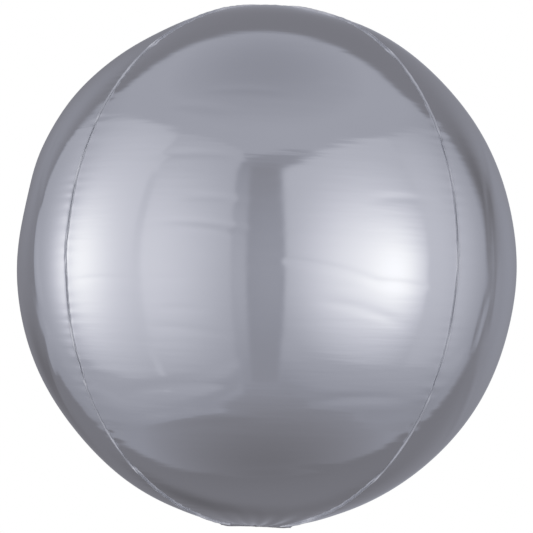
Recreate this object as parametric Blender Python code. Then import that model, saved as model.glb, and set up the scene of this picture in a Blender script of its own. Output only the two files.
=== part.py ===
"""Orb foil balloon: four gores of metallised film, heat sealed edge to edge, with a tail to fill it by.

The orb's centre is the origin and its poles are on Z. The front gore faces -Y.
Lengths are in metres and angles in radians.
"""

import math

import bmesh
import bpy
from mathutils import Vector

# The orb
EQUATOR_RADIUS = 0.192
POLE_RADIUS = 0.200
PANEL_NAMES = ("front", "right", "back", "left")
PANEL_HALF_WIDTH = math.pi / len(PANEL_NAMES)
PANEL_ROWS = 35
PANEL_COLUMNS = 15

# How far a seam lies inside the round of its gores, and how steeply the gore falls to it
SEAM_DEPTH = 0.0008
SEAM_STEEPNESS = 4

# Where the filled film swells or lies flatter than the plain round. Angles are in degrees here.
SWELLS = (
    # azimuth, latitude, spread, height
    (0, 90, 11, 0.0016),
    (42, 74, 7, -0.0012),
    (-65, 60, 8, -0.0009),
    (-81, 36, 12, 0.0021),
    (-78, 21, 7, 0.0010),
    (-81, 11, 10, -0.0017),
    (-81, -43, 14, -0.0016),
    (81, 46, 12, -0.0010),
    (82, 0, 10, 0.0007),
    (81, -30, 15, 0.0010),
    (60, -79, 7, 0.0009),
    (-60, -80, 6, 0.0008),
)

# Film, drawn thicker than the real one, and the gap between pieces that touch
FILM = 0.0015
GAP = 0.0003

# The sealed fin that stands out of each seam
FIN_HEIGHT = 0.0014
FIN_THICKNESS = 0.0006

# Seals at the two poles
TOP_SEAL_RADIUS = 0.012
NECK_RADIUS = 0.028
CAP_RINGS = 4
CAP_SIDES = 32
CROSS_STEPS = 6

# The pinched fold under the neck that the tail turns about
RIDGE_DEPTH = 0.0025
RIDGE_HALF_THICKNESS = 0.0006
RIDGE_ROOT_HALF_THICKNESS = 0.0020
RIDGE_END_ROUND = 0.006

# The tail, measured outwards from its crease
CREASE_Z = -POLE_RADIUS - 0.0016
TAIL_DROOP = math.radians(5)
TAIL_START = 0.0022
TAIL_FLARE_END = 0.026
TAIL_LENGTH = 0.084
TAIL_ROOT_HALF_WIDTH = 0.028
TAIL_HALF_WIDTH = 0.017
TAIL_EDGE_WIDTH = 0.004
TAIL_STEPS = 14
PLY = 0.0005
SLEEVE = 0.0004
SLEEVE_HALF_WIDTH = 0.0105
SLEEVE_START = 0.008
SLEEVE_END = TAIL_LENGTH + 0.009

# Faces that meet at a wider angle than this show an edge between them
SHARP_ANGLE = math.radians(30)

FOIL_COLOUR = (0.78, 0.78, 0.81, 1)
SEAL_COLOUR = (0.70, 0.70, 0.73, 1)
VALVE_COLOUR = (0.86, 0.88, 0.90, 1)


def clear_scene():
    for obj in list(bpy.data.objects):
        bpy.data.objects.remove(obj, do_unlink=True)


def make_material(name, colour, roughness, metallic):
    material = bpy.data.materials.new(name)
    material.use_nodes = True
    shader = material.node_tree.nodes["Principled BSDF"]
    shader.inputs["Base Color"].default_value = colour
    shader.inputs["Roughness"].default_value = roughness
    shader.inputs["Metallic"].default_value = metallic
    return material


def add_object(name, mesh, material, parent=None):
    mesh.materials.append(material)
    mesh.shade_smooth()
    mesh.set_sharp_from_angle(angle=SHARP_ANGLE)
    obj = bpy.data.objects.new(name, mesh)
    bpy.context.scene.collection.objects.link(obj)
    obj.parent = parent
    return obj


def finish_mesh(name, shape):
    bmesh.ops.recalc_face_normals(shape, faces=shape.faces)
    mesh = bpy.data.meshes.new(name)
    shape.to_mesh(mesh)
    shape.free()
    return mesh


def loft(name, sections):
    """A closed solid through rings of as many points each, with a flat cap at both ends."""
    shape = bmesh.new()
    rings = [[shape.verts.new(point) for point in section] for section in sections]
    sides = len(rings[0])
    for ring, following in zip(rings, rings[1:]):
        for side in range(sides):
            after = (side + 1) % sides
            shape.faces.new((ring[side], ring[after], following[after], following[side]))
    shape.faces.new(rings[0])
    shape.faces.new(rings[-1])
    return finish_mesh(name, shape)


def union(obj, other_mesh):
    """Joins another mesh to the object as one body, and leaves no helper behind."""
    helper = bpy.data.objects.new(obj.name + "_joined", other_mesh)
    bpy.context.scene.collection.objects.link(helper)
    helper.hide_render = True
    helper.display_type = "WIRE"
    modifier = obj.modifiers.new("Join", "BOOLEAN")
    modifier.operation = "UNION"
    modifier.object = helper


def direction(azimuth, latitude):
    level = math.cos(latitude)
    return Vector((level * math.sin(azimuth), -level * math.cos(azimuth), math.sin(latitude)))


def swell(azimuth, latitude):
    """How far the film stands over the plain round here. Each swell fades like a bell with distance."""
    here = direction(azimuth, latitude)
    total = 0
    for aside, up, spread, height in SWELLS:
        away = here.angle(direction(math.radians(aside), math.radians(up)))
        total += height * math.exp(-((away / math.radians(spread)) ** 2))
    return total


def orb_point(azimuth, latitude, height=0.0):
    """A point at this height over the orb's outside. Azimuth is 0 at the front and grows to the right."""
    step = 2 * PANEL_HALF_WIDTH
    off_centre = (azimuth - step * round(azimuth / step)) / PANEL_HALF_WIDTH
    pulled_in = SEAM_DEPTH * math.cos(latitude) * abs(off_centre) ** SEAM_STEEPNESS
    across = EQUATOR_RADIUS * math.cos(latitude) - pulled_in
    normal = Vector((math.cos(latitude) / EQUATOR_RADIUS, math.sin(latitude) / POLE_RADIUS)).normalized()
    lift = height + swell(azimuth, latitude)
    out = across + lift * normal.x
    up = POLE_RADIUS * math.sin(latitude) + lift * normal.y
    return Vector((out * math.sin(azimuth), -out * math.cos(azimuth), up))


def latitude_at(radius):
    """The latitude where the orb is this far from its axis."""
    return math.acos(radius / EQUATOR_RADIUS)


def between(low, high, share):
    return low + (high - low) * share


def build_panel(name, centre, material):
    """One gore, cut short of the poles' seals and of the fins at its sides."""
    side_gap = FIN_THICKNESS / 2 + GAP
    low = -latitude_at(NECK_RADIUS + GAP)
    high = latitude_at(TOP_SEAL_RADIUS + GAP)
    shape = bmesh.new()
    rows = []
    for row in range(PANEL_ROWS + 1):
        latitude = between(low, high, row / PANEL_ROWS)
        half_width = PANEL_HALF_WIDTH - math.asin(side_gap / (EQUATOR_RADIUS * math.cos(latitude)))
        azimuths = [
            centre + between(-half_width, half_width, column / PANEL_COLUMNS)
            for column in range(PANEL_COLUMNS + 1)
        ]
        rows.append([shape.verts.new(orb_point(azimuth, latitude)) for azimuth in azimuths])
    for lower, upper in zip(rows, rows[1:]):
        for column in range(PANEL_COLUMNS):
            shape.faces.new((lower[column], lower[column + 1], upper[column + 1], upper[column]))
    mesh = bpy.data.meshes.new(name)
    shape.to_mesh(mesh)
    shape.free()
    panel = add_object(name, mesh, material)
    wall = panel.modifiers.new("Film", "SOLIDIFY")
    wall.thickness = FILM
    wall.offset = -1
    wall.use_even_offset = True


def blade(name, azimuth, latitudes):
    """A thin fin along a meridian, from the film's inside to the fin's crest."""
    sideways = Vector((math.cos(azimuth), math.sin(azimuth), 0)) * (FIN_THICKNESS / 2)
    sections = []
    for latitude in latitudes:
        root = orb_point(azimuth, latitude, -FILM)
        crest = orb_point(azimuth, latitude, FIN_HEIGHT)
        sections.append((root - sideways, crest - sideways, crest + sideways, root + sideways))
    return loft(name, sections)


def build_seam(name, azimuth, material):
    low = -latitude_at(NECK_RADIUS + GAP)
    high = latitude_at(TOP_SEAL_RADIUS + GAP)
    latitudes = [between(low, high, row / PANEL_ROWS) for row in range(PANEL_ROWS + 1)]
    add_object(name, blade(name, azimuth, latitudes), material)


def cap_mesh(name, radius, pole):
    """A round of film that closes the orb at one pole: pole is 1 at the top and -1 at the bottom."""
    shape = bmesh.new()
    rims = []
    for height in (0, -FILM):
        centre = shape.verts.new(orb_point(0, pole * math.pi / 2, height))
        inner = None
        for ring in range(1, CAP_RINGS + 1):
            latitude = pole * latitude_at(radius * ring / CAP_RINGS)
            azimuths = [2 * math.pi * side / CAP_SIDES for side in range(CAP_SIDES)]
            outer = [shape.verts.new(orb_point(azimuth, latitude, height)) for azimuth in azimuths]
            for side in range(CAP_SIDES):
                after = (side + 1) % CAP_SIDES
                if inner:
                    shape.faces.new((inner[side], outer[side], outer[after], inner[after]))
                else:
                    shape.faces.new((centre, outer[side], outer[after]))
            inner = outer
        rims.append(inner)
    outside, inside = rims
    for side in range(CAP_SIDES):
        after = (side + 1) % CAP_SIDES
        shape.faces.new((outside[side], outside[after], inside[after], inside[side]))
    return finish_mesh(name, shape)


def build_top_seal(material):
    """The cap where the four seams cross, with their fins meeting on it as a cross."""
    seal = add_object("top_seal", cap_mesh("top_seal", TOP_SEAL_RADIUS, 1), material)
    edge = latitude_at(TOP_SEAL_RADIUS - GAP)
    for turn in (1, 3):
        azimuth = turn * PANEL_HALF_WIDTH
        near = [between(edge, math.pi - edge, step / CROSS_STEPS) for step in range(CROSS_STEPS + 1)]
        union(seal, blade("cross_fin", azimuth, near))


def build_neck(material):
    """The cap at the bottom, pinched into a straight ridge that the tail hangs from."""
    neck = add_object("neck", cap_mesh("neck", NECK_RADIUS, -1), material)
    root_z = -POLE_RADIUS * math.sin(latitude_at(NECK_RADIUS - RIDGE_END_ROUND)) + FILM / 2
    tip_z = -POLE_RADIUS - RIDGE_DEPTH
    ends = NECK_RADIUS - GAP
    stations = (
        (-ends, tip_z + RIDGE_END_ROUND / 2),
        (-ends + RIDGE_END_ROUND / 2, tip_z + RIDGE_END_ROUND / 8),
        (-ends + RIDGE_END_ROUND, tip_z),
        (ends - RIDGE_END_ROUND, tip_z),
        (ends - RIDGE_END_ROUND / 2, tip_z + RIDGE_END_ROUND / 8),
        (ends, tip_z + RIDGE_END_ROUND / 2),
    )
    sections = [
        (
            (x, -RIDGE_ROOT_HALF_THICKNESS, root_z),
            (x, -RIDGE_HALF_THICKNESS, low_z),
            (x, RIDGE_HALF_THICKNESS, low_z),
            (x, RIDGE_ROOT_HALF_THICKNESS, root_z),
        )
        for x, low_z in stations
    ]
    union(neck, loft("ridge", sections))


def tail_half_width(along):
    """Half the tail's width, from the wide root through a smooth flare to its straight part."""
    share = min(1, max(0, (along - TAIL_START) / (TAIL_FLARE_END - TAIL_START)))
    eased = share * share * (3 - 2 * share)
    return between(TAIL_ROOT_HALF_WIDTH, TAIL_HALF_WIDTH, eased)


def tail_stations():
    """Distances from the crease: close together through the flare, then one at the end."""
    flare = [between(TAIL_START, TAIL_FLARE_END, step / TAIL_STEPS) for step in range(TAIL_STEPS + 1)]
    return flare + [TAIL_LENGTH]


def strip(name, stations, sides, low, high):
    """A flat strip outwards from the crease: sides gives its left and right edge at each station."""
    sections = []
    for along in stations:
        left, right = sides(along)
        sections.append(((left, along, low), (left, along, high), (right, along, high), (right, along, low)))
    return loft(name, sections)


def build_tail(foil, seal, valve):
    crease = bpy.data.objects.new("tail_crease_axis", None)
    bpy.context.scene.collection.objects.link(crease)
    crease.location = (0, 0, CREASE_Z)
    crease.rotation_euler = (-TAIL_DROOP, 0, 0)

    def ply_sides(along):
        half = tail_half_width(along) - TAIL_EDGE_WIDTH - GAP
        return -half, half

    stations = tail_stations()
    ply_bottom = SLEEVE / 2 + GAP
    ply_top = ply_bottom + PLY
    for name, low, high in (
        ("tail_ply_outer", -ply_top, -ply_bottom),
        ("tail_ply_inner", ply_bottom, ply_top),
    ):
        add_object(name, strip(name, stations, ply_sides, low, high), foil, crease)

    for name, side in (("tail_edge_left", -1), ("tail_edge_right", 1)):

        def edge_sides(along, side=side):
            half = tail_half_width(along)
            return sorted((side * half, side * (half - TAIL_EDGE_WIDTH)))

        add_object(name, strip(name, stations, edge_sides, -ply_top, ply_top), seal, crease)

    def sleeve_sides(along):
        return -SLEEVE_HALF_WIDTH, SLEEVE_HALF_WIDTH

    sleeve = strip("valve_sleeve", (SLEEVE_START, SLEEVE_END), sleeve_sides, -SLEEVE / 2, SLEEVE / 2)
    add_object("valve_sleeve", sleeve, valve, crease)


def main():
    clear_scene()
    foil = make_material("silver_foil", FOIL_COLOUR, roughness=0.16, metallic=1.0)
    seal = make_material("sealed_foil", SEAL_COLOUR, roughness=0.30, metallic=1.0)
    valve = make_material("clear_valve_film", VALVE_COLOUR, roughness=0.35, metallic=0.0)
    for index, name in enumerate(PANEL_NAMES):
        build_panel("panel_" + name, 2 * PANEL_HALF_WIDTH * index, foil)
    for index, name in enumerate(("front_right", "back_right", "back_left", "front_left")):
        build_seam("seam_" + name, PANEL_HALF_WIDTH * (2 * index + 1), seal)
    build_top_seal(seal)
    build_neck(seal)
    build_tail(foil, seal, valve)


main()
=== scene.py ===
"""Looks of the orb foil balloon: its film, seams, tail and valve, in a plain bright studio."""

import math

import bmesh
import bpy
import numpy as np
from mathutils import Matrix, Vector


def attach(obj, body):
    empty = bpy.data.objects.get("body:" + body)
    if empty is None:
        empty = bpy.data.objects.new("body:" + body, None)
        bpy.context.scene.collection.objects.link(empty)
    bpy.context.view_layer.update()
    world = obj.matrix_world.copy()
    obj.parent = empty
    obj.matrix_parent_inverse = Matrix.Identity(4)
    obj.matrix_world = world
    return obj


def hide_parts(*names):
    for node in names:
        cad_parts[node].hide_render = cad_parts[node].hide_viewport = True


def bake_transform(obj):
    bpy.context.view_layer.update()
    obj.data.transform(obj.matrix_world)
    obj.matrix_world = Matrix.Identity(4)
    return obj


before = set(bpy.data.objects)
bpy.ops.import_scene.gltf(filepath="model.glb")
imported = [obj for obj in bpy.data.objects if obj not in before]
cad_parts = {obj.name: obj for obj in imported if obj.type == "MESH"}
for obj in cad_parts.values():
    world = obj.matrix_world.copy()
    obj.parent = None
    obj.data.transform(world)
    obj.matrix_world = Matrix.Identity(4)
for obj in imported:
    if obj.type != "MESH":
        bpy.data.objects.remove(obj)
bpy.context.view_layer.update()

# The orb, in metres, as in the model's source
EQUATOR_RADIUS = 0.192
POLE_RADIUS = 0.200
PANEL_NAMES = ("front", "right", "back", "left")
PANEL_HALF_WIDTH = math.pi / len(PANEL_NAMES)
SEAM_DEPTH = 0.0008
SEAM_STEEPNESS = 4
TOP_SEAL_RADIUS = 0.012
NECK_RADIUS = 0.028
FILM = 0.00015

# Round swells and flats of the filled film
SWELLS = (
    # azimuth, latitude, spread, height
    (0, 90, 11, 0.0016),
    (42, 74, 7, -0.0012),
    (-65, 60, 8, -0.0009),
    (-81, 36, 12, 0.0021),
    (-78, 21, 7, 0.0010),
    (-81, 11, 10, -0.0017),
    (-81, -43, 14, -0.0016),
    (81, 46, 12, -0.0010),
    (82, 0, 10, 0.0007),
    (81, -30, 15, 0.0010),
    (60, -79, 7, 0.0009),
    (-60, -80, 6, 0.0008),
)

# Short wrinkles, as shallow grooves and ridges with soft ends
WRINKLES = (
    # azimuth, latitude, tilt, half length, half width, height
    (-33.5, -5.6, 0, 7.5, 0.55, -0.00018),
    (-18, -5.4, 0, 3.5, 0.5, -0.00009),
    (-14, 19, -1, 9, 0.9, -0.00022),
    (-10, 10.2, -1, 5, 0.8, -0.00022),
    (-12, 5.4, -3, 8, 0.7, -0.00026),
    (-10, 3.9, -5, 5, 0.6, 0.00015),
    (-16, -1, 2, 5, 0.8, -0.00011),
    (-15, -11, 0, 5, 0.8, -0.00013),
    (-14, -15, -4, 8, 0.9, -0.00013),
    (14, -2.2, -9, 11, 0.8, -0.00029),
    (30, -4.6, -3, 8, 0.9, -0.00022),
    (22, -10, -12, 9, 1.1, -0.00018),
    (31, 12, 2, 7, 1, -0.00022),
    (-20, -27, 8, 12, 1.3, -0.00026),
    (-16, -34, 9, 12, 1.5, 0.00026),
    (24, -28, 4, 10, 1.2, -0.00022),
    (-6, 34, 1, 8, 0.9, -0.00018),
    (-20, 30, -5, 10, 1.3, -0.00022),
    (20, 36, -8, 5, 0.9, -0.00018),
    (10, -47, 3, 12, 1.5, -0.00022),
    (58, 9, 84, 9, 1.1, -0.00034),
    (61, -6, 95, 8, 1.0, 0.00040),
    (56, -11, 82, 6, 0.9, -0.00030),
    (66, 24, 70, 9, 1.4, 0.00030),
    (64, -30, 112, 10, 1.5, 0.00034),
    (-58, -3, 96, 9, 1.1, 0.00034),
    (-62, 18, 104, 9, 1.3, -0.00034),
    (-60, -27, 74, 10, 1.4, 0.00036),
    (-84, 12, 95, 14, 1.6, 0.00033),
    (120, 18, -6, 14, 1.2, -0.00019),
    (150, -8, 5, 13, 1, 0.00016),
    (178, 26, -4, 16, 1.3, -0.00021),
    (195, -20, 7, 15, 1.2, -0.00018),
    (228, 8, -8, 12, 1, 0.00016),
    (250, -30, 10, 14, 1.3, -0.00021),
    (105, -34, -9, 12, 1.2, 0.00018),
)

# Ripples along the seams, and the fan of folds at each pole
PUCKER_LENGTH = 0.0090
PUCKER_HEIGHT = 0.00013
PUCKER_REACH = 0.0085
GATHERS = (
    # pole, folds, height, where they are highest and how far they reach, as angles from the pole
    (1, 19, 0.00022, 5, 7),
    (-1, 23, 0.00060, 9, 11),
)

# Fins: two films sealed face to face
FIN_HEIGHT = 0.0014
FIN_HALF_THICKNESS = 0.00016
FIN_WAVE = 0.00012
FIN_WAVE_LENGTH = 0.031
FIN_LEAN = math.radians(38)
FILLET_HEIGHT = 0.0002
FILLET_REACH = 0.0008

# The pinched ridge under the neck, and the tail that hangs from it
RIDGE_DEPTH = 0.0025
RIDGE_REACH = 0.0017
RIDGE_STEEPNESS = 1.3
RIDGE_HALF_LENGTH = 0.030
RIDGE_END = 0.010
CREASE_Z = -POLE_RADIUS - 0.0016
TAIL_DROOP = math.radians(5)
TAIL_START = 0.0022
TAIL_FLARE_END = 0.026
TAIL_LENGTH = 0.084
TAIL_ROOT_HALF_WIDTH = 0.028
TAIL_HALF_WIDTH = 0.017
TAIL_EDGE_WIDTH = 0.004
PLY_HEIGHT = 0.00065
PLY = 0.00015
EDGE_HALF_THICKNESS = 0.00072
SLEEVE_HALF_THICKNESS = 0.00015
SLEEVE_HALF_WIDTH = 0.0105
SLEEVE_START = 0.008
SLEEVE_END = TAIL_LENGTH + 0.009

# How fine the meshes are
PANEL_ROWS = 600
PANEL_COLUMNS = 80
FIN_STATIONS = 400
CAP_SIDES = 192
CAP_RINGS = 34
TAIL_ROWS = 110
TAIL_COLUMNS = 44

# The camera, solved from the photo's outline and seams
CAMERA_DISTANCE = 1.173
CAMERA_ROLL = math.radians(2.25)
CAMERA_PITCH = math.radians(-2.48)
ORB_TURN = math.radians(-1.5)
FOCAL_PIXELS = 1504.5
IMAGE_PIXELS = 533
SENSOR_MM = 36
ORB_CENTRE_X = 266.2
ORB_CENTRE_Y = 265.2

# The floor is far below, and the film mirrors only the studio round it
FLOOR_Z = -2.4
FLOOR_RADIUS = 3.0
FLOOR_GLOW = 0.6


def seen_from_camera():
    """The turn that takes the orb's own axes to the camera's: X right, Y away from it, Z up."""
    roll = Matrix.Rotation(CAMERA_ROLL, 3, "Y")
    pitch = Matrix.Rotation(CAMERA_PITCH, 3, "X")
    turn = Matrix.Rotation(ORB_TURN, 3, "Z")
    return roll @ pitch @ turn


def add_camera():
    back = seen_from_camera().transposed()
    middle = IMAGE_PIXELS / 2
    aside = (middle - ORB_CENTRE_X) * CAMERA_DISTANCE / FOCAL_PIXELS
    above = (ORB_CENTRE_Y - middle) * CAMERA_DISTANCE / FOCAL_PIXELS
    place = back @ Vector((aside, -CAMERA_DISTANCE, above))
    right, ahead, up = (back @ Vector(axis) for axis in ((1, 0, 0), (0, 1, 0), (0, 0, 1)))
    turn = Matrix((right, up, -ahead)).transposed()
    data = bpy.data.cameras.new("camera")
    data.sensor_width = SENSOR_MM
    data.lens = FOCAL_PIXELS * SENSOR_MM / IMAGE_PIXELS
    data.clip_end = 50
    camera = bpy.data.objects.new("camera", data)
    camera.matrix_world = Matrix.Translation(place) @ turn.to_4x4()
    bpy.context.scene.collection.objects.link(camera)
    bpy.context.scene.camera = camera


add_camera()


# Node helpers


class Nodes:
    """A node tree that is written as sums: each call adds one node and returns its output."""

    def __init__(self, tree):
        self.tree = tree

    def add(self, kind, **settings):
        node = self.tree.nodes.new(kind)
        for name, value in settings.items():
            setattr(node, name, value)
        return node

    def plug(self, value, socket):
        if isinstance(value, bpy.types.NodeSocket):
            self.tree.links.new(value, socket)
        else:
            socket.default_value = value

    def math(self, operation, *values, clamp=False):
        node = self.add("ShaderNodeMath", operation=operation, use_clamp=clamp)
        for value, socket in zip(values, node.inputs):
            self.plug(value, socket)
        return node.outputs[0]

    def dot(self, vector, direction):
        node = self.add("ShaderNodeVectorMath", operation="DOT_PRODUCT")
        self.plug(vector, node.inputs[0])
        node.inputs[1].default_value = direction
        return node.outputs["Value"]

    def ramp(self, value, low, high, start=0.0, end=1.0):
        """A smooth step from start to end as value goes from low to high."""
        node = self.add("ShaderNodeMapRange", interpolation_type="SMOOTHSTEP")
        for given, socket in zip((value, low, high, start, end), node.inputs):
            self.plug(given, socket)
        return node.outputs[0]

    def line(self, value, low, high, start, end):
        node = self.add("ShaderNodeMapRange", clamp=True)
        for given, socket in zip((value, low, high, start, end), node.inputs):
            self.plug(given, socket)
        return node.outputs[0]

    def mix(self, share, first, second):
        node = self.add("ShaderNodeMix", data_type="FLOAT")
        self.plug(share, node.inputs[0])
        self.plug(first, node.inputs[2])
        self.plug(second, node.inputs[3])
        return node.outputs[0]


def linear(grey):
    """Linear light for a grey level of 0 to 255 in a picture."""
    share = grey / 255
    return ((share + 0.055) / 1.055) ** 2.4


# The studio: walls of lit paper round the orb, as its film mirrors them
# Angles are in degrees, azimuth 0 towards the camera and growing to its right.
# A wall is flat, so its top and bottom edges are given where it faces the orb.

FILM_REFLECTS = 0.88
# The studio's light is cool, and least so where it is dimmest or brightest
TINTS = (
    # grey, colour
    (105, (0.96, 0.945, 1.05)),
    (145, (0.925, 0.948, 1.093)),
    (200, (0.945, 0.955, 1.06)),
    (245, (0.975, 0.98, 1.01)),
)
WALLS = (
    # name, faces, left, right, bottom, top, softness, grey at top, at bottom
    ("back_wall", 173, 118, 231, -80, 61.8, 0.05, 123, 113),
    ("beam", 10, -19, 33, 30, 46.5, 0.02, 142, 142),
    ("left_wall", -65, -130, -50, -57, 50.5, 0.025, 166, 140),
    ("left_flat", -45, -58, -14, -57, 51, 0.025, 165, 150),
    ("left_strip", -12, -15, -8, -50, 40, 0.025, 140, 145),
    ("right_wall", 65, 70, 115, -57, 45, 0.03, 155, 138),
    ("right_flat", 50, 8, 77, -57, 47, 0.025, 178, 150),
    ("left_joint", -59, -61, -57, -45, 34, 0.02, 180, 178),
    ("gap", 0, -8, 7, -48, 42, 0.025, 134, 141),
    ("left_table", -45, -125, -14, -52, -42, 0.03, 163, 157),
    ("left_skirt", -60, -125, -14, -57.5, -52, 0.03, 150, 146),
    ("right_table", 50, 8, 112, -57, -37, 0.05, 164, 138),
)
GLOWS = (
    # on wall, azimuth, elevation, spread across, spread up, grey at its middle
    ("left_wall", -93, 0, 16, 19, 214),
    ("left_wall", -77, 4, 52, 55, 200),
    ("left_flat", -56, 1, 37, 42, 206),
    ("left_joint", -59, 0, 9, 28, 199),
    ("left_strip", -12, 0, 12, 38, 166),
    ("right_flat", 62, -3, 14, 16, 208),
    ("right_flat", 46, -2, 34, 33, 229),
    ("right_wall", 78, 2, 38, 55, 189),
    ("back_wall", 142, 0, 24, 26, 143),
    ("back_wall", 127, -9, 5, 9, 128),
    ("back_wall", 125, 16, 7, 11, 96),
    ("back_wall", 177, 0, 9, 22, 160),
    ("back_wall", -162, -44, 16, 18, 98),
    ("back_wall", 160, -42, 22, 16, 111),
    ("back_wall", -144, 20, 15, 22, 138),
    ("back_wall", -147, -14, 12, 7, 100),
    ("gap", 4, 0, 20, 30, 152),
)
SKY = ((90, 145), (70, 153), (58, 161), (45, 161), (20, 145), (-20, 152), (-50, 144), (-58, 135), (-69, 124), (-80, 116), (-90, 113))


def build_studio():
    world = bpy.data.worlds.new("studio")
    bpy.context.scene.world = world
    world.use_nodes = True
    world.node_tree.nodes.clear()
    n = Nodes(world.node_tree)
    coordinates = n.add("ShaderNodeTexCoord")
    turned = n.add("ShaderNodeMapping", vector_type="POINT")
    turned.inputs["Rotation"].default_value = seen_from_camera().to_euler("XYZ")
    n.plug(coordinates.outputs["Generated"], turned.inputs["Vector"])
    unit = n.add("ShaderNodeVectorMath", operation="NORMALIZE")
    n.plug(turned.outputs[0], unit.inputs[0])
    ray = unit.outputs[0]
    split = n.add("ShaderNodeSeparateXYZ")
    n.plug(ray, split.inputs[0])
    height = split.outputs["Z"]

    sky = n.add("ShaderNodeValToRGB")
    stops = sky.color_ramp.elements
    for elevation, grey in SKY:
        position = (math.sin(math.radians(elevation)) + 1) / 2
        ends = {0: stops[0], 1: stops[-1]}
        stop = ends.get(position) or stops.new(position)
        stop.color = (*[linear(grey)] * 3, 1)
    n.plug(n.line(height, -1, 1, 0, 1), sky.inputs[0])
    light = sky.outputs[0]

    for name, faces, left, right, bottom, top, soft, top_grey, bottom_grey in WALLS:
        facing = math.radians(faces)
        ahead = n.dot(ray, (math.sin(facing), -math.cos(facing), 0))
        aside = n.dot(ray, (math.cos(facing), math.sin(facing), 0))
        depth = n.math("MAXIMUM", ahead, 0.001)
        across = n.math("DIVIDE", aside, depth)
        up = n.math("DIVIDE", height, depth)
        sides = [math.tan(math.radians(edge - faces)) for edge in (left, right)]
        ends = [math.tan(math.radians(edge)) for edge in (bottom, top)]
        inside = n.math("GREATER_THAN", ahead, 0.001)
        for value, (low, high) in ((across, sides), (up, ends)):
            spread_low = soft * (1 + low * low)
            spread_high = soft * (1 + high * high)
            inside = n.math("MULTIPLY", inside, n.ramp(value, low - spread_low, low + spread_low))
            inside = n.math("MULTIPLY", inside, n.ramp(value, high + spread_high, high - spread_high))
        paper = n.line(up, ends[0], ends[1], linear(bottom_grey), linear(top_grey))
        for on_wall, azimuth, elevation, spread_across, spread_up, grey in GLOWS:
            if on_wall != name:
                continue
            x_spot = math.tan(math.radians(azimuth - faces))
            y_spot = math.tan(math.radians(elevation)) / math.cos(math.radians(azimuth - faces))
            x_spread = math.radians(spread_across) * (1 + x_spot * x_spot)
            y_spread = math.radians(spread_up) * math.sqrt(1 + x_spot * x_spot)
            x_off = n.math("DIVIDE", n.math("SUBTRACT", across, x_spot), x_spread)
            y_off = n.math("DIVIDE", n.math("SUBTRACT", up, y_spot), y_spread)
            off = n.math("ADD", n.math("MULTIPLY", x_off, x_off), n.math("MULTIPLY", y_off, y_off))
            glow = n.math("EXPONENT", n.math("MULTIPLY", off, -1.0))
            added = linear(grey) - linear((top_grey + bottom_grey) / 2)
            paper = n.math("ADD", paper, n.math("MULTIPLY", glow, added))
        light = n.mix(inside, light, paper)

    tint = n.add("ShaderNodeValToRGB")
    tints = tint.color_ramp.elements
    for grey, colour in TINTS:
        position = linear(grey)
        ends = {linear(TINTS[0][0]): tints[0], linear(TINTS[-1][0]): tints[-1]}
        stop = ends.get(position) or tints.new(position)
        stop.position = position
        stop.color = (*colour, 1)
    n.plug(light, tint.inputs[0])
    lamp = n.add("ShaderNodeBackground")
    n.plug(tint.outputs[0], lamp.inputs["Color"])
    n.plug(n.math("DIVIDE", light, FILM_REFLECTS), lamp.inputs["Strength"])
    plain = n.add("ShaderNodeBackground")
    plain.inputs["Color"].default_value = (1, 1, 1, 1)
    path = n.add("ShaderNodeLightPath")
    either = n.add("ShaderNodeMixShader")
    n.plug(path.outputs["Is Camera Ray"], either.inputs[0])
    n.plug(lamp.outputs[0], either.inputs[1])
    n.plug(plain.outputs[0], either.inputs[2])
    output = n.add("ShaderNodeOutputWorld")
    n.plug(either.outputs[0], output.inputs[0])


build_studio()
bpy.context.scene.view_settings.view_transform = "Standard"
# Light goes back and forth many times between the orb and its mirrored tail
bpy.context.scene.cycles.glossy_bounces = 12


# Materials


def new_material(name):
    material = bpy.data.materials.new(name)
    material.use_nodes = True
    shader = material.node_tree.nodes["Principled BSDF"]
    return material, shader, Nodes(material.node_tree)


def noise(n, place, scale, detail, stretch=(1, 1, 1)):
    """Cloudy noise from 0 to 1 at this many waves a metre."""
    mapped = n.add("ShaderNodeMapping")
    mapped.inputs["Scale"].default_value = stretch
    n.plug(place, mapped.inputs["Vector"])
    cloud = n.add("ShaderNodeTexNoise")
    n.plug(mapped.outputs[0], cloud.inputs["Vector"])
    cloud.inputs["Scale"].default_value = scale
    cloud.inputs["Detail"].default_value = detail
    return cloud.outputs[0]


def bump(n, height, distance, under=None):
    node = n.add("ShaderNodeBump")
    node.inputs["Strength"].default_value = 1.0
    node.inputs["Distance"].default_value = distance
    n.plug(height, node.inputs["Height"])
    if under:
        n.plug(under, node.inputs["Normal"])
    return node.outputs[0]


def shade_of(n, share, colour, darkest):
    """The colour, down to this share of it where the share input is 0."""
    tint = n.add("ShaderNodeMix", data_type="RGBA")
    n.plug(share, tint.inputs[0])
    tint.inputs[6].default_value = (*[darkest * part for part in colour], 1)
    tint.inputs[7].default_value = (*colour, 1)
    return tint.outputs[2]


def foil_material(name, colour, roughness, crinkle):
    """Metallised film: a slightly soft mirror, with faint lines from its rolling and fine crinkles."""
    material, shader, n = new_material(name)
    shader.inputs["Metallic"].default_value = 1.0
    place = n.add("ShaderNodeTexCoord").outputs["Object"]
    lines = noise(n, place, 1.0, 3, (9, 9, 120))
    cloud = noise(n, place, 16, 4)
    peel = noise(n, place, 420, 2)
    rough = n.math(
        "ADD",
        n.line(cloud, 0.3, 0.7, roughness - 0.02, roughness + 0.025),
        n.line(lines, 0.45, 0.75, 0.0, 0.03),
    )
    n.plug(rough, shader.inputs["Roughness"])
    n.plug(shade_of(n, cloud, colour, 0.96), shader.inputs["Base Color"])
    rolled = bump(n, lines, 0.00003 * crinkle)
    n.plug(bump(n, peel, 0.0000006 * crinkle, rolled), shader.inputs["Normal"])
    return material


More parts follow.
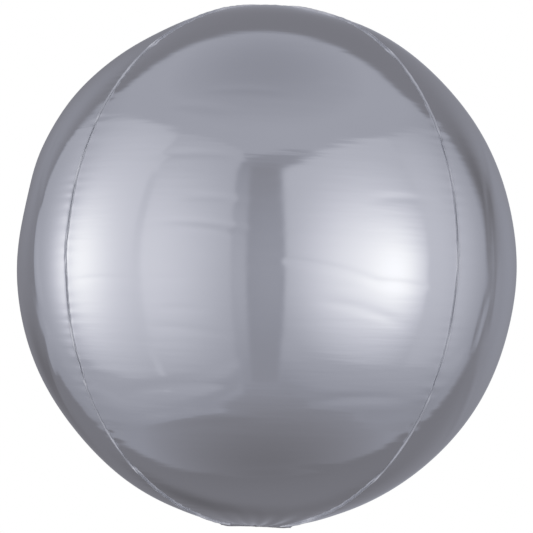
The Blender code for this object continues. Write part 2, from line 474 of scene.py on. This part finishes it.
def sealed_material(name, colour, roughness):
    """Film pressed between heated jaws: duller, with a fine woven press mark."""
    material, shader, n = new_material(name)
    shader.inputs["Metallic"].default_value = 1.0
    place = n.add("ShaderNodeTexCoord").outputs["Object"]
    cloud = noise(n, place, 60, 3)
    waves = []
    for direction in ("X", "Z"):
        wave = n.add("ShaderNodeTexWave", wave_type="BANDS", bands_direction=direction)
        n.plug(place, wave.inputs["Vector"])
        wave.inputs["Scale"].default_value = 330
        wave.inputs["Distortion"].default_value = 0.6
        waves.append(wave.outputs["Fac"])
    knurl = n.math("MULTIPLY", *waves)
    n.plug(n.line(cloud, 0.3, 0.7, roughness - 0.04, roughness + 0.06), shader.inputs["Roughness"])
    n.plug(shade_of(n, cloud, colour, 0.93), shader.inputs["Base Color"])
    pressed = bump(n, knurl, 0.00003)
    n.plug(bump(n, cloud, 0.0001, pressed), shader.inputs["Normal"])
    return material


def valve_material(name, colour):
    """Thin clear film, milky where its two layers part."""
    material, shader, n = new_material(name)
    place = n.add("ShaderNodeTexCoord").outputs["Object"]
    cloud = noise(n, place, 140, 3)
    creases = noise(n, place, 60, 2, (6, 1, 1))
    n.plug(n.line(cloud, 0.3, 0.7, 0.16, 0.34), shader.inputs["Roughness"])
    n.plug(shade_of(n, cloud, colour, 0.9), shader.inputs["Base Color"])
    n.plug(n.line(creases, 0.35, 0.7, 0.38, 0.62), shader.inputs["Alpha"])
    n.plug(bump(n, creases, 0.0002), shader.inputs["Normal"])
    shader.inputs["IOR"].default_value = 1.5
    return material


FOIL_COLOUR = (0.885, 0.89, 0.905)
SEALED_COLOUR = tuple(0.95 * part for part in FOIL_COLOUR)
foil = foil_material("silver_foil", FOIL_COLOUR, 0.075, 4.5)
tail_foil = foil_material("tail_foil", FOIL_COLOUR, 0.15, 12.0)
sealed = sealed_material("sealed_foil", SEALED_COLOUR, 0.36)
valve = valve_material("clear_valve_film", (0.86, 0.88, 0.90))


# Meshes from grids of points


def mesh_object(name, points, faces, material):
    mesh = bpy.data.meshes.new(name)
    mesh.from_pydata(points.tolist(), [], faces)
    mesh.materials.append(material)
    mesh.shade_smooth()
    obj = bpy.data.objects.new(name, mesh)
    bpy.context.scene.collection.objects.link(obj)
    return obj


def quads(first, second, third, fourth):
    return np.stack((first, second, third, fourth), axis=-1).reshape(-1, 4).tolist()


def shell_object(name, outer, inner, material):
    """A closed thin shell between two grids of points."""
    rows, columns = outer.shape[:2]
    over = np.arange(rows * columns).reshape(rows, columns)
    under = over + rows * columns
    faces = quads(over[:-1, :-1], over[:-1, 1:], over[1:, 1:], over[1:, :-1])
    faces += quads(under[:-1, :-1], under[1:, :-1], under[1:, 1:], under[:-1, 1:])
    rim = np.concatenate([over[0, :-1], over[:-1, -1], over[-1, :0:-1], over[:0:-1, 0]])
    after = np.roll(rim, -1)
    faces += quads(after, rim, rim + rows * columns, after + rows * columns)
    points = np.concatenate([outer.reshape(-1, 3), inner.reshape(-1, 3)])
    return mesh_object(name, points, faces, material)


def round_shell_object(name, outer, inner, material):
    """A closed thin shell between two discs. Each is rings of points, the first ring all at the pole."""
    rings, sides = outer.shape[0] - 1, outer.shape[1]
    one_side = 1 + rings * sides
    points = []
    faces = []
    for number, disc in enumerate((outer, inner)):
        points += [disc[0, :1], disc[1:].reshape(-1, 3)]
        grid = 1 + np.arange(rings * sides).reshape(rings, sides) + number * one_side
        turned = np.roll(grid, -1, axis=1)
        tops = [[number * one_side, second, first] for first, second in zip(grid[0], turned[0])]
        bands = quads(grid[:-1], turned[:-1], turned[1:], grid[1:])
        both = tops + bands if number else [face[::-1] for face in tops + bands]
        faces += [[int(corner) for corner in face] for face in both]
    rim = np.arange(1 + (rings - 1) * sides, one_side)
    after = np.roll(rim, -1)
    faces += quads(rim, after, after + one_side, rim + one_side)
    return mesh_object(name, np.concatenate(points), faces, material)


def tube_object(name, rings, material):
    """A closed tube through rings of points, with a flat cap at both ends."""
    stations, sides = rings.shape[:2]
    grid = np.arange(stations * sides).reshape(stations, sides)
    turned = np.roll(grid, -1, axis=1)
    faces = quads(grid[:-1], turned[:-1], turned[1:], grid[1:])
    faces += [grid[0, ::-1].tolist(), grid[-1].tolist()]
    return mesh_object(name, rings.reshape(-1, 3), faces, material)


def outward(obj):
    """Turns every face of the object to the outside."""
    shape = bmesh.new()
    shape.from_mesh(obj.data)
    bmesh.ops.recalc_face_normals(shape, faces=shape.faces)
    shape.to_mesh(obj.data)
    shape.free()


def place_piece(obj, body, slot, *nodes):
    outward(obj)
    if body:
        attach(obj, body)
    if nodes:
        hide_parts(*nodes)


# The film's shape


def smooth_step(value, low, high):
    share = np.clip((value - low) / (high - low), 0, 1)
    return share * share * (3 - 2 * share)


def latitude_at(radius):
    return math.acos(radius / EQUATOR_RADIUS)


def wrapped(angle):
    """The same angle, from minus pi to pi."""
    return (angle + math.pi) % (2 * math.pi) - math.pi


def swells(azimuth, latitude):
    total = 0.0
    for place_azimuth, place_latitude, spread, height in SWELLS:
        aside, up, reach = np.radians((place_azimuth, place_latitude, spread))
        near = np.sin(latitude) * np.sin(up) + np.cos(latitude) * np.cos(up) * np.cos(azimuth - aside)
        away = np.arccos(np.clip(near, -1, 1))
        total = total + height * np.exp(-((away / reach) ** 2))
    return total


def wrinkles(azimuth, latitude):
    total = 0.0
    for place_azimuth, place_latitude, tilt, half_length, half_width, height in WRINKLES:
        aside, up, turn, length, width = np.radians((place_azimuth, place_latitude, tilt, half_length, half_width))
        across = wrapped(azimuth - aside) * np.cos(up)
        above = latitude - up
        along = across * np.cos(turn) + above * np.sin(turn)
        off = above * np.cos(turn) - across * np.sin(turn)
        bent = off + 0.06 * length * (along / length) ** 2
        total = total + height * np.exp(-((bent / width) ** 2) - (along / length) ** 4)
    return total


def from_seam(azimuth, latitude):
    """How far a point of the film is from the nearest seam, in metres, and a number for that side of it."""
    turns = azimuth / (2 * PANEL_HALF_WIDTH)
    panel = np.round(turns)
    share = 2 * (turns - panel)
    away = EQUATOR_RADIUS * np.cos(latitude) * PANEL_HALF_WIDTH * (1 - np.abs(share))
    return away, 2 * panel + np.sign(share)


def puckers(azimuth, latitude):
    """Ripples that run out from a seam, uneven in length and height."""
    away, side = from_seam(azimuth, latitude)
    along = POLE_RADIUS * latitude / PUCKER_LENGTH
    phase = 2 * math.pi * along + 1.9 * np.sin(along / 1.9 + 2.3 * side) + 1.3 * np.sin(along / 0.83 + side)
    strength = 0.55 + 0.45 * np.sin(along / 2.7 + 1.7 * side) * np.sin(along / 1.13 + 0.6 * side)
    return PUCKER_HEIGHT * strength * np.sin(phase) * np.exp(-away / PUCKER_REACH)


def gathers(azimuth, latitude):
    """Folds that fan out from the seals at the poles."""
    total = 0.0
    for pole, folds, height, highest, reach in GATHERS:
        away = np.degrees(math.pi / 2 - pole * latitude)
        fold = np.sin(folds * azimuth + 1.6 * np.sin(2 * azimuth + pole) + 1.1 * np.sin(5 * azimuth))
        uneven = 0.6 + 0.4 * np.sin(3 * azimuth + 0.7)
        fade = (away / highest) ** 2 * np.exp(1 - (away / highest) ** 2) * (away < highest)
        fade = fade + np.exp(-(((away - highest) / reach) ** 2)) * (away >= highest)
        total = total + height * uneven * fold * fade
    return total


def fillet(azimuth, latitude):
    """The small upward curve of the film where it runs into a fin."""
    away, side = from_seam(azimuth, latitude)
    return FILLET_HEIGHT * np.exp(-away / FILLET_REACH)


def pinch(out_x, out_y, latitude):
    """How far the film is drawn down into the straight ridge under the neck."""
    round_z = POLE_RADIUS * np.sin(latitude)
    to_ridge = round_z + POLE_RADIUS + RIDGE_DEPTH
    ends = 1 - smooth_step(np.abs(out_x), RIDGE_HALF_LENGTH - RIDGE_END, RIDGE_HALF_LENGTH + RIDGE_END)
    near = np.exp(-((np.abs(out_y) / RIDGE_REACH) ** RIDGE_STEEPNESS))
    return to_ridge * ends * near * (latitude < 0)


def film_points(azimuth, latitude, height=0.0):
    """Points of the film at these angles, in radians, with this height over it."""
    azimuth, latitude = np.broadcast_arrays(azimuth, latitude)
    away, side = from_seam(azimuth, latitude)
    level = np.cos(latitude)
    off_centre = 1 - away / np.maximum(EQUATOR_RADIUS * level * PANEL_HALF_WIDTH, 1e-9)
    pulled_in = SEAM_DEPTH * level * off_centre ** SEAM_STEEPNESS
    out_part = level / EQUATOR_RADIUS
    up_part = np.sin(latitude) / POLE_RADIUS
    length = np.hypot(out_part, up_part)
    relief = swells(azimuth, latitude) + wrinkles(azimuth, latitude)
    relief = relief + puckers(azimuth, latitude) + gathers(azimuth, latitude)
    lift = height + relief + fillet(azimuth, latitude)
    out = EQUATOR_RADIUS * level - pulled_in + lift * out_part / length
    up = POLE_RADIUS * np.sin(latitude) + lift * up_part / length
    x, y = out * np.sin(azimuth), -out * np.cos(azimuth)
    return np.stack([x, y, up - pinch(x, y, latitude)], axis=-1)


# The envelope


# The gores are cut flat, as long leaves with their points cut short
GORE_LOW = -latitude_at(NECK_RADIUS)
GORE_HIGH = latitude_at(TOP_SEAL_RADIUS)


def panel_object(name, centre):
    latitudes = np.linspace(GORE_LOW, GORE_HIGH, PANEL_ROWS)
    evenly = np.linspace(-1, 1, PANEL_COLUMNS)
    share = np.sign(evenly) * (1 - (1 - np.abs(evenly)) ** 1.3)
    azimuth = centre + PANEL_HALF_WIDTH * share[None, :]
    latitude = latitudes[:, None]
    return shell_object(name, film_points(azimuth, latitude), film_points(azimuth, latitude, -FILM), foil)


FIN_SECTION = (
    # share of the half thickness, share of the height
    (1.6, -0.10), (1.1, 0.15), (1.0, 0.55), (0.8, 0.93), (0.25, 1.0),
    (-0.25, 1.0), (-0.8, 0.93), (-1.0, 0.55), (-1.1, 0.15), (-1.6, -0.10),
)


def fin_rings(azimuth, latitudes):
    """Sections of a fin along its meridian. It waves from side to side, and flops over between the poles."""
    along = POLE_RADIUS * latitudes
    wave = np.sin(2 * math.pi * along / FIN_WAVE_LENGTH + 1.7 * np.sin(along / 0.041 + azimuth))
    wave = FIN_WAVE * (wave + 0.5 * np.sin(along / 0.0011 + 3 * np.sin(along / 0.013)))
    lean = FIN_LEAN * np.sin(along / 0.023 + 2 * azimuth + 1.3 * np.sin(along / 0.0137))
    lean = lean * smooth_step(np.cos(latitudes), 0.1, 0.4)
    sideways = np.array([math.cos(azimuth), math.sin(azimuth), 0])
    rings = []
    for aside, up in FIN_SECTION:
        free = max(up, 0)
        height = FIN_HEIGHT * np.where(up > 0, up * np.cos(lean), up)
        points = film_points(azimuth, latitudes, height - FILLET_HEIGHT)
        shift = aside * FIN_HALF_THICKNESS + wave * free ** 2 + FIN_HEIGHT * free * np.sin(lean)
        rings.append(points + shift[:, None] * sideways)
    return np.stack(rings, axis=1)


def build_envelope():
    for index, name in enumerate(PANEL_NAMES):
        panel = panel_object("film_" + name, 2 * PANEL_HALF_WIDTH * index)
        place_piece(panel, "envelope", "silver_foil", "panel_" + name)
    low, high = -latitude_at(NECK_RADIUS - 0.002), latitude_at(TOP_SEAL_RADIUS - 0.001)
    for index, name in enumerate(("front_right", "back_right", "back_left", "front_left")):
        azimuth = PANEL_HALF_WIDTH * (2 * index + 1)
        fin = tube_object("fin_" + name, fin_rings(azimuth, np.linspace(low, high, FIN_STATIONS)), sealed)
        place_piece(fin, "envelope", "sealed_foil", "seam_" + name)


def cap_object(name, radius, pole, material):
    sides = np.linspace(0, 2 * math.pi, CAP_SIDES, endpoint=False)[None, :]
    radii = radius * np.linspace(0, 1, CAP_RINGS)
    latitudes = pole * np.arccos(radii / EQUATOR_RADIUS)[:, None]
    return round_shell_object(name, film_points(sides, latitudes), film_points(sides, latitudes, -FILM), material)


def build_top_seal():
    """The round where the four seams cross, with their fins running over it."""
    cap = cap_object("top_cap", TOP_SEAL_RADIUS, 1, sealed)
    place_piece(cap, "envelope", "sealed_foil", "top_seal")
    edge = latitude_at(TOP_SEAL_RADIUS)
    for name, turn in (("top_fin_one", 1), ("top_fin_two", 3)):
        azimuth = turn * PANEL_HALF_WIDTH
        fin = tube_object(name, fin_rings(azimuth, np.linspace(edge, math.pi - edge, 24)), sealed)
        place_piece(fin, "envelope", "sealed_foil")


def build_neck():
    """The round at the bottom, drawn together into the ridge."""
    neck = cap_object("neck_cap", NECK_RADIUS, -1, foil)
    place_piece(neck, "envelope", "silver_foil", "neck")


build_envelope()
build_top_seal()
build_neck()


# The tail


def tail_half_width(along):
    eased = smooth_step(along, TAIL_START, TAIL_FLARE_END)
    return TAIL_ROOT_HALF_WIDTH + (TAIL_HALF_WIDTH - TAIL_ROOT_HALF_WIDTH) * eased


def crinkles(across, along):
    """The tail's soft folds: lengthwise from the pinch at its root, and crossways where it was flattened."""
    fan = np.sin(across / 0.0021 + 2 * np.sin(along / 0.019)) * np.exp(-along / 0.022)
    cross = np.sin(along / 0.0047 + 1.4 * np.sin(across / 0.008)) * np.sin(along / 0.021 + across / 0.03)
    long_wave = np.sin(along / 0.017 + 0.6) * smooth_step(along, 0.012, 0.05)
    free = smooth_step(along, TAIL_START, 0.012)
    return (0.00035 * fan + 0.00016 * cross + 0.0009 * long_wave) * free


def tail_points(across, along, height):
    """Points of the tail, from its distances across, along and above its middle plane."""
    across, along, height = np.broadcast_arrays(across, along, height)
    lifted = height + crinkles(across, along)
    cosine, sine = math.cos(TAIL_DROOP), math.sin(TAIL_DROOP)
    y = along * cosine + lifted * sine
    z = CREASE_Z - along * sine + lifted * cosine
    return np.stack([across, y, z], axis=-1)


def sheet_part(name, along, half_width, height, thickness, material):
    """A thin flat piece of the tail: its half width is given at each distance along."""
    share = np.linspace(-1, 1, TAIL_COLUMNS)[None, :]
    across = half_width[:, None] * share
    upper = tail_points(across, along[:, None], height + thickness / 2)
    lower = tail_points(across, along[:, None], height - thickness / 2)
    return shell_object(name, upper, lower, material)


def build_tail():
    along = np.linspace(TAIL_START, TAIL_LENGTH, TAIL_ROWS)
    film_half = tail_half_width(along) - TAIL_EDGE_WIDTH * 0.9
    for name, node, side in (("tail_film_outer", "tail_ply_outer", -1), ("tail_film_inner", "tail_ply_inner", 1)):
        ply = sheet_part(name, along, film_half, side * PLY_HEIGHT, PLY, tail_foil)
        place_piece(ply, "tail", "silver_foil", node)

    section = ((0, 0.55), (0.12, 0.95), (0.5, 1.0), (0.88, 0.5), (1, 0.15))
    around = section + tuple((share, -thick) for share, thick in reversed(section))
    for name, side in (("left", -1), ("right", 1)):
        rings = [
            tail_points(
                side * (tail_half_width(along) - TAIL_EDGE_WIDTH * (1 - share)),
                along,
                thick * (EDGE_HALF_THICKNESS * (1 - 0.6 * share)),
            )
            for share, thick in around
        ]
        edge = tube_object("tail_seal_" + name, np.stack(rings, axis=1), sealed)
        place_piece(edge, "tail", "sealed_foil", "tail_edge_" + name)

    reach = np.linspace(SLEEVE_START, SLEEVE_END, TAIL_ROWS)
    widths = SLEEVE_HALF_WIDTH * (1 + 0.01 * np.sin(reach / 0.004))
    sleeve = sheet_part("valve_film", reach, widths, 0.0, 2 * SLEEVE_HALF_THICKNESS, valve)
    place_piece(sleeve, "tail", "clear_valve_film", "valve_sleeve")


def build_crease():
    """The film that folds over from the ridge into the tail."""
    share = np.linspace(0, 1, 12)[:, None]
    across = np.linspace(-1, 1, 60)[None, :] * (TAIL_ROOT_HALF_WIDTH - 0.0008)
    ridge_z = -POLE_RADIUS - RIDGE_DEPTH
    y = share * TAIL_START * 1.2
    z = ridge_z + share ** 2 * (CREASE_Z - PLY_HEIGHT - ridge_z)
    ripple = 0.00012 * np.sin(across / 0.0013) * np.sin(math.pi * share)
    lower = np.stack(np.broadcast_arrays(across, y, z + ripple - PLY / 2), axis=-1)
    upper = lower + np.array([0, 0, PLY])
    crease = shell_object("tail_crease", upper, lower, tail_foil)
    place_piece(crease, None, "silver_foil")
    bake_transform(crease)


build_tail()
build_crease()


# Floor


def add_floor():
    material, shader, n = new_material("pale_floor")
    place = n.add("ShaderNodeTexCoord").outputs["Object"]
    grain = noise(n, place, 30, 3)
    pale = shade_of(n, grain, (0.9, 0.9, 0.9), 0.97)
    n.plug(pale, shader.inputs["Base Color"])
    n.plug(pale, shader.inputs["Emission Color"])
    shader.inputs["Emission Strength"].default_value = FLOOR_GLOW
    shader.inputs["Roughness"].default_value = 0.8
    mesh = bpy.data.meshes.new("floor")
    shape = bmesh.new()
    bmesh.ops.create_circle(shape, cap_ends=True, segments=96, radius=FLOOR_RADIUS)
    shape.to_mesh(mesh)
    shape.free()
    mesh.materials.append(material)
    floor = bpy.data.objects.new("floor", mesh)
    floor.location.z = FLOOR_Z
    floor.visible_glossy = False
    bpy.context.scene.collection.objects.link(floor)


add_floor()
